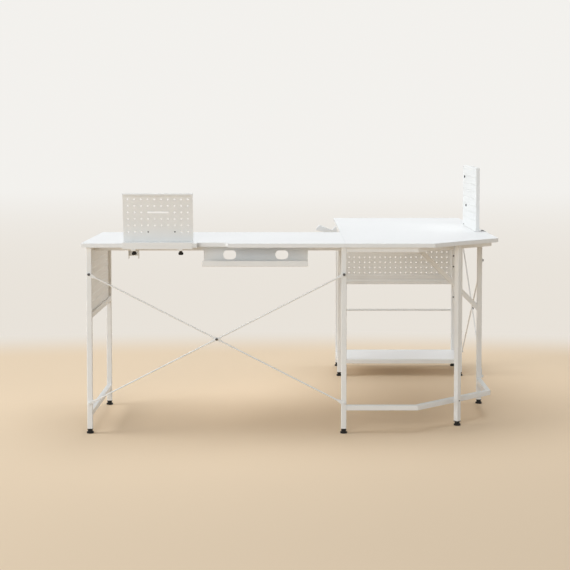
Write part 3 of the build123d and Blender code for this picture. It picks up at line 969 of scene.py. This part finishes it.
def braces():
    """The two crossed pairs of rods, with the bolts that hold them."""
    left_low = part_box("left_rear_leg")[0]
    right_low, right_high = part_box("right_joint_leg")
    joint_x = middle_of("left_joint_leg").x
    rack_y = middle_of("rack_middle_rear_leg").y
    left_near = Vector((left_low.x + TUBE_HALF, left_low.y, 0))
    left_far = Vector((joint_x, left_low.y, 0))
    right_near = Vector((right_high.x, right_low.y + TUBE_HALF, 0))
    right_far = Vector((right_high.x, rack_y, 0))
    inner_lift = TAB_THICKNESS / 2
    outer_lift = inner_lift + CROSSING_THICKNESS
    bolts = bmesh.new()
    sides = (("left", left_near, left_far, -Y_AXIS), ("right", right_near, right_far, X_AXIS))
    for side, near, far, outward in sides:
        falling = (near + Z_AXIS * BRACE_TOP, far + Z_AXIS * BRACE_BOTTOM)
        rising = (near + Z_AXIS * BRACE_BOTTOM, far + Z_AXIS * BRACE_TOP)
        for name, ends, lift in (("inner", falling, inner_lift), ("outer", rising, outer_lift)):
            node = f"{side}_brace_{name}"
            build = bmesh.new()
            add_rod(build, *ends, outward, lift)
            coated(f"{node}_rod", node, build)
        for spot in falling:
            add_bolt(bolts, spot + outward * TAB_THICKNESS, outward)
        for spot in rising:
            add_washer(bolts, spot, outward)
            add_bolt(bolts, spot + outward * (CROSSING_THICKNESS + TAB_THICKNESS), outward)
        crossing = (falling[0] + falling[1]) / 2
        add_bolt(bolts, crossing + outward * (outer_lift + CROSSING_THICKNESS / 2), outward)
    heads = to_mesh("brace_bolts", bolts)
    piece("brace_bolt_heads", heads, [DARK_ZINC, POWDER], "frame", ZINC, "brace_bolts")
    for face in heads.polygons:
        face.material_index = 1 if face.center.z < COATED_BOLTS_BELOW else 0


def frame_screws():
    """A screw through the cut corner's leg into its low rail, and four in the rack's end leg."""
    screws = bmesh.new()
    outward = Vector((1, -1, 0)).normalized()
    spot = middle_of("chamfer_leg") + outward * TUBE_HALF
    spot.z = middle_of("corner_low_rail").z
    add_lathe(screws, SMALL_HEAD, HEAD_STEPS, place_on(spot, outward))
    leg_x = middle_of("rack_end_rear_leg").x
    leg_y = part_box("rack_end_rear_leg")[0].y
    for level in RACK_SCREW_LEVELS:
        add_lathe(screws, PAN_HEAD, HEAD_STEPS, place_on(Vector((leg_x, leg_y, level)), -Y_AXIS))
    fittings("frame_screws", screws, "frame", ZINC)


# Feet, clamp screws and guard rod

def foot_of(node):
    """The place on a CAD node's axis at its lowest level, and the node's height."""
    low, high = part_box(node)
    return Matrix.Translation(((low.x + high.x) / 2, (low.y + high.y) / 2, low.z)), high.z - low.z


def black_piece(name, node, build):
    """A black plastic piece that rides on its CAD node's body."""
    piece(name, to_mesh(node, build), [BLACK_PLASTIC], body_of(node), PLASTIC, node)


def levelling_feet():
    """Turned feet on threaded stems."""
    for node in sorted(n for n in frame["nodes"] if n.startswith("foot_")):
        place, size = foot_of(node)
        build = bmesh.new()
        add_lathe(build, FOOT_PROFILE, FOOT_STEPS, place)
        add_thread(build, FOOT_PROFILE[-1][1] - THREAD_LAP, size, place)
        black_piece(f"{node}_turned", node, build)


def clamp_screws():
    """Screws with a star knob below and a pad above."""
    for node in sorted(n for n in frame["nodes"] if "clamp_screw" in n):
        place, size = foot_of(node)
        build = bmesh.new()
        add_lathe(build, KNOB_PROFILE, KNOB_STEPS, place, KNOB_LOBES, KNOB_LOBE_DEPTH)
        pad_under = size - PAD_THICKNESS
        add_thread(build, KNOB_PROFILE[-1][1] - THREAD_LAP, pad_under, place)
        add_lathe(build, [(r, pad_under + z) for r, z in PAD_PROFILE], PAD_STEPS, place)
        black_piece(f"{node}_knob", node, build)


def guard_rod():
    """The rod across the rack's end, with a weld at each end."""
    node = "rack_guard_rod"
    low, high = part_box(node)
    middle = (low + high) / 2
    length = high.x - low.x
    profile = WELD + [(radius, length - height) for radius, height in WELD[::-1]]
    build = bmesh.new()
    place = place_on(Vector((low.x, middle.y, middle.z)), X_AXIS)
    add_lathe(build, profile, GUARD_STEPS, place)
    coated("rack_guard_rod_bar", node, build)


# Edge clamps

def add_jaw(build, across, edge, back, top, tongue, reach, origin, along, width):
    """A strap folded round a board's edge; places run across from the edge, and up."""
    fold = [
        (edge + CLAMP_REACH, top, 0),
        (back, top, CLAMP_BEND),
        (back, tongue, CLAMP_BEND),
        (reach, tongue, 0),
    ]
    add_folded(build, open_path(fold), CLAMP_PLATE, origin, across, Z_AXIS, along, width)


def small_clamps():
    """The two jaws that hold the small pegboard."""
    half = CLAMP_PLATE / 2
    low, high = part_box("small_clamps")
    reach = middle_of("small_clamp_screw_left").y + SCREW_MARGIN
    edge = high.y - CLAMP_REACH
    heights = (high.z - half, low.z + half)
    build = bmesh.new()
    for start in (low.x, high.x - SMALL_CLAMP_WIDTH):
        origin = Vector((start, 0, 0))
        add_jaw(build, Y_AXIS, edge, low.y + half, *heights, reach, origin, X_AXIS, SMALL_CLAMP_WIDTH)
    coated("small_clamps_jaws", "small_clamps", build, "small_pegboard")


def large_clamps():
    """The two jaws that hold the large pegboard, each with an upright tab and a bolt."""
    half = CLAMP_PLATE / 2
    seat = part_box("small_clamps")[1].z
    low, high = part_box("large_clamps")
    edge = -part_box("right_board")[1].x
    heights = (seat - half, low.z + half)
    tab = fillet([
        (0, 0, 0),
        (LARGE_CLAMP_WIDTH, 0, 0),
        (LARGE_CLAMP_WIDTH, high.z - seat, TAB_CORNER),
        (0, high.z - seat, TAB_CORNER),
    ])
    build = bmesh.new()
    bolts = bmesh.new()
    for start in (low.y, high.y - LARGE_CLAMP_WIDTH):
        origin = Vector((0, start, 0))
        add_jaw(build, -X_AXIS, edge, half - high.x, *heights, -low.x, origin, Y_AXIS, LARGE_CLAMP_WIDTH)
        foot = Vector((-edge - TAB_SETBACK + half, start, seat))
        add_plate(build, [tab], CLAMP_PLATE, axes(foot, Y_AXIS, Z_AXIS), PLATE_EASE)
        spot = Vector((-edge - CLAMP_BOLT_SETBACK, start + LARGE_CLAMP_WIDTH / 2, seat))
        add_lathe(bolts, CLAMP_BOLT, CLAMP_BOLT_STEPS, place_on(spot, Z_AXIS))
    coated("large_clamps_jaws", "large_clamps", build, "large_pegboard")
    fittings("large_clamps_bolts", bolts, "large_pegboard", ZINC)


# Saddle hook

def saddle_line(points, lift, bends):
    """The corners of a line lifted off the hook's underside, with its bends' radii."""
    radii = [*bends, HOOK_CREST_RADIUS - lift, HOOK_VALLEY_RADIUS + lift, HOOK_NOSE_RADIUS - lift, 0]
    return [(p.x, p.y, r) for p, r in zip(offset_line(points, lift), radii)]


def saddle_hook():
    """A strap bent into a saddle, with a cheek plate at each side."""
    low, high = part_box("saddle_hook")
    board_low, board_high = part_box("right_board")
    top = board_high.z
    under = board_low.z
    edge = board_low.x
    root = Vector((high.x, under))
    bend = Vector((edge - HOOK_GAP, under))
    foot = Vector((edge - HOOK_GAP, top - HOOK_CHEEK_DROP))
    crest = Vector((edge - HOOK_GAP, top + HOOK_CREST_RISE))
    valley = Vector((edge - HOOK_VALLEY, top + HOOK_VALLEY_RISE))
    nose = Vector((edge - HOOK_NOSE, top + HOOK_NOSE_RISE))
    lip = Vector((edge - HOOK_REACH, top + HOOK_LIP_RISE))
    belly = Vector((edge - HOOK_CHEEK_REACH, top - HOOK_CHEEK_DROP))
    half = HOOK_SHEET / 2
    strap = saddle_line([root, bend, crest, valley, nose, lip], half, [0, HOOK_BEND + half])
    origin = Vector((0, low.y, 0))
    build = bmesh.new()
    add_folded(build, open_path(strap), HOOK_SHEET, origin, X_AXIS, Z_AXIS, Y_AXIS, high.y - low.y)
    rim = saddle_line([foot, crest, valley, nose, lip], HOOK_LAP, [0])
    cheek = fillet([*rim, (belly.x, belly.y, HOOK_BEND)])
    inset = half + HOOK_CHEEK_INSET
    for y in (low.y + inset, high.y - inset):
        place = axes(Vector((0, y, 0)), X_AXIS, Z_AXIS)
        add_plate(build, [cheek], HOOK_SHEET, place, PLATE_EASE)
    coated("saddle_hook_strap", "saddle_hook", build)


# Camera, stage and light

CAMERA_PLACE = (-0.0059, -6.0267, 1.1276)
CAMERA_PITCH = 3.0
CAMERA_LENS = 88.7
CAMERA_SENSOR = 36
CAMERA_SHIFT = (-0.0143, -0.1356)
FLOOR_COLOR = (0.825, 0.66, 0.48)
BOUNCE_COLOR = (0.70, 0.53, 0.35)
FLOOR_RADIUS = 40.0
FLOOR_STEPS = 96
FLOOR_ROUGHNESS = 0.55
FLOOR_GLOSS = 0.0
BACK_COLOR = (0.895, 0.88, 0.85)
BACK_FOOT_COLOR = (0.81, 0.765, 0.70)
BACK_FOOT, BACK_HEAD = 8.0, 30.0
SWEEP_CENTRE = (0, -6.0, 0)
SWEEP_START, SWEEP_END = 7.1, 8.0
ROOM_CENTRE = (0, 0, 0)
ROOM_START, ROOM_END = 3.0, 5.4
WORLD_COLOR = (0.98, 0.99, 1.0)
WORLD_STRENGTH = 0.20
LAMP_COLOR = (0.95, 0.98, 1.0)


def photo_camera():
    """A camera at the photograph's viewing angle."""
    camera = bpy.data.objects.new("camera", bpy.data.cameras.new("camera"))
    bpy.context.scene.collection.objects.link(camera)
    camera.location = CAMERA_PLACE
    camera.rotation_euler = (math.radians(90 - CAMERA_PITCH), 0, 0)
    camera.data.lens = CAMERA_LENS
    camera.data.sensor_width = CAMERA_SENSOR
    camera.data.shift_x, camera.data.shift_y = CAMERA_SHIFT
    bpy.context.scene.camera = camera


def fade(tree, centre, start, end):
    """Zero within start of a point on the floor, and one past end."""
    place = add(tree, "ShaderNodeTexCoord")
    away = add(tree, "ShaderNodeVectorMath")
    away.operation = "DISTANCE"
    away.inputs[1].default_value = centre
    tree.links.new(place.outputs["Object"], away.inputs[0])
    soft = add(tree, "ShaderNodeMapRange", From_Min=start, From_Max=end)
    soft.interpolation_type = "SMOOTHSTEP"
    tree.links.new(away.outputs["Value"], soft.inputs["Value"])
    return soft.outputs["Result"]


def joined(tree, operation, first, second):
    """Two values put through a math operation."""
    node = add(tree, "ShaderNodeMath")
    node.operation = operation
    tree.links.new(first, node.inputs[0])
    tree.links.new(second, node.inputs[1])
    return node.outputs["Value"]


def looking(tree):
    """One for a look that is straight, mirrored or through glass, and zero for bounced light."""
    rays = tree.nodes.new("ShaderNodeLightPath").outputs
    direct = joined(tree, "MAXIMUM", rays["Is Camera Ray"], rays["Is Glossy Ray"])
    return joined(tree, "MAXIMUM", direct, rays["Is Transmission Ray"])


def swap(tree, factor, first, second, output):
    """One shader that turns into another as a factor goes from 0 to 1."""
    mix = tree.nodes.new("ShaderNodeMixShader")
    tree.links.new(factor, mix.inputs["Fac"])
    tree.links.new(first, mix.inputs[1])
    tree.links.new(second, mix.inputs[2])
    tree.links.new(mix.outputs["Shader"], tree.nodes[output].inputs["Surface"])


def stage_floor():
    """A pale floor that fades into the background all round the desk."""
    build = bmesh.new()
    bmesh.ops.create_circle(build, cap_ends=True, segments=FLOOR_STEPS, radius=FLOOR_RADIUS)
    mesh = bpy.data.meshes.new("floor")
    build.to_mesh(mesh)
    build.free()
    floor = bpy.data.objects.new("floor", mesh)
    bpy.context.scene.collection.objects.link(floor)
    material, tree, main = shader("pale_floor", FLOOR_COLOR, FLOOR_ROUGHNESS)
    main.inputs["Specular IOR Level"].default_value = FLOOR_GLOSS
    mesh.materials.append(material)
    look = looking(tree)
    tone = ramp(tree, look, BOUNCE_COLOR, FLOOR_COLOR, 0, 1)
    tree.links.new(tone, main.inputs["Base Color"])
    sweep = fade(tree, SWEEP_CENTRE, SWEEP_START, SWEEP_END)
    room = fade(tree, ROOM_CENTRE, ROOM_START, ROOM_END)
    seen = joined(tree, "MULTIPLY", look, joined(tree, "MAXIMUM", sweep, room))
    paper = add(tree, "ShaderNodeEmission", Strength=1.0)
    rise = fade(tree, SWEEP_CENTRE, BACK_FOOT, BACK_HEAD)
    tree.links.new(ramp(tree, rise, BACK_FOOT_COLOR, BACK_COLOR, 0, 1), paper.inputs["Color"])
    swap(tree, seen, main.outputs["BSDF"], paper.outputs["Emission"], "Material Output")


def stage_world():
    """A soft even light, with a pale background where it is looked at."""
    world = bpy.data.worlds.new("world")
    bpy.context.scene.world = world
    world.use_nodes = True
    tree = world.node_tree
    light = tree.nodes["Background"]
    light.inputs["Color"].default_value = (*WORLD_COLOR, 1)
    light.inputs["Strength"].default_value = WORLD_STRENGTH
    back = add(tree, "ShaderNodeBackground", Color=(*BACK_COLOR, 1), Strength=1.0)
    swap(tree, looking(tree), light.outputs["Background"], back.outputs["Background"], "World Output")


def soft_light(name, place, target, size, power, mirrored=False):
    """A large square lamp aimed at a point; the surfaces show its image only where it is mirrored."""
    data = bpy.data.lights.new(name, "AREA")
    data.shape = "SQUARE"
    data.size = size
    data.energy = power
    data.color = LAMP_COLOR
    lamp = bpy.data.objects.new(name, data)
    bpy.context.scene.collection.objects.link(lamp)
    lamp.location = place
    lamp.visible_glossy = mirrored
    lamp.rotation_euler = (Vector(target) - Vector(place)).to_track_quat("-Z", "Y").to_euler()


# CAD nodes that keep their own shape

def finish_cad_nodes():
    """A finish for every CAD node, and eased edges for those that show."""
    slots = {entry["node"]: entry["material_slot"] for entry in frame["record"]["subparts"]}
    for node, shape in frame["nodes"].items():
        shape.data.materials.clear()
        shape.data.materials.append(FINISHES[slots[node]])
        if shape.hide_render:
            continue
        weld = shape.modifiers.new("weld", "WELD")
        weld.merge_threshold = CAD_WELD
        bevel = shape.modifiers.new("bevel", "BEVEL")
        bevel.width = CAD_BEVEL
        bevel.segments = CAD_BEVEL_STEPS
        bevel.limit_method = "ANGLE"
        bevel.angle_limit = math.radians(CAD_BEVEL_ANGLE)
        bevel.harden_normals = False


# The desk and its stage

straight_tubes()
shelf_rails()
chamfer_leg()
corner_rails()
knee_braces()
boards()
end_panel("left_side_panel", Y_AXIS)
end_panel("rack_end_panel", X_AXIS)
small_pegboard()
large_pegboard()
cable_tray()
braces()
frame_screws()
levelling_feet()
clamp_screws()
guard_rod()
small_clamps()
large_clamps()
saddle_hook()

photo_camera()
stage_floor()
stage_world()
soft_light("key", place=(-7.1, -1.1, 3.0), target=(0.1, 0, 0.6), size=4.5, power=335)
soft_light("top", place=(0.2, 0.2, 5.2), target=(0.1, 0, 0.6), size=4.2, power=125, mirrored=True)
soft_light("front", place=(-2.4, -8.6, 2.1), target=(0, 0, 0.5), size=4.0, power=302)
soft_light("fill", place=(5.8, 1.4, 1.2), target=(0, 0, 0.5), size=2.3, power=82)
soft_light("back", place=(0.4, 6.0, 2.0), target=(0, 0, 0.4), size=4.0, power=140)
bpy.context.scene.view_settings.view_transform = "Standard"
finish_cad_nodes()
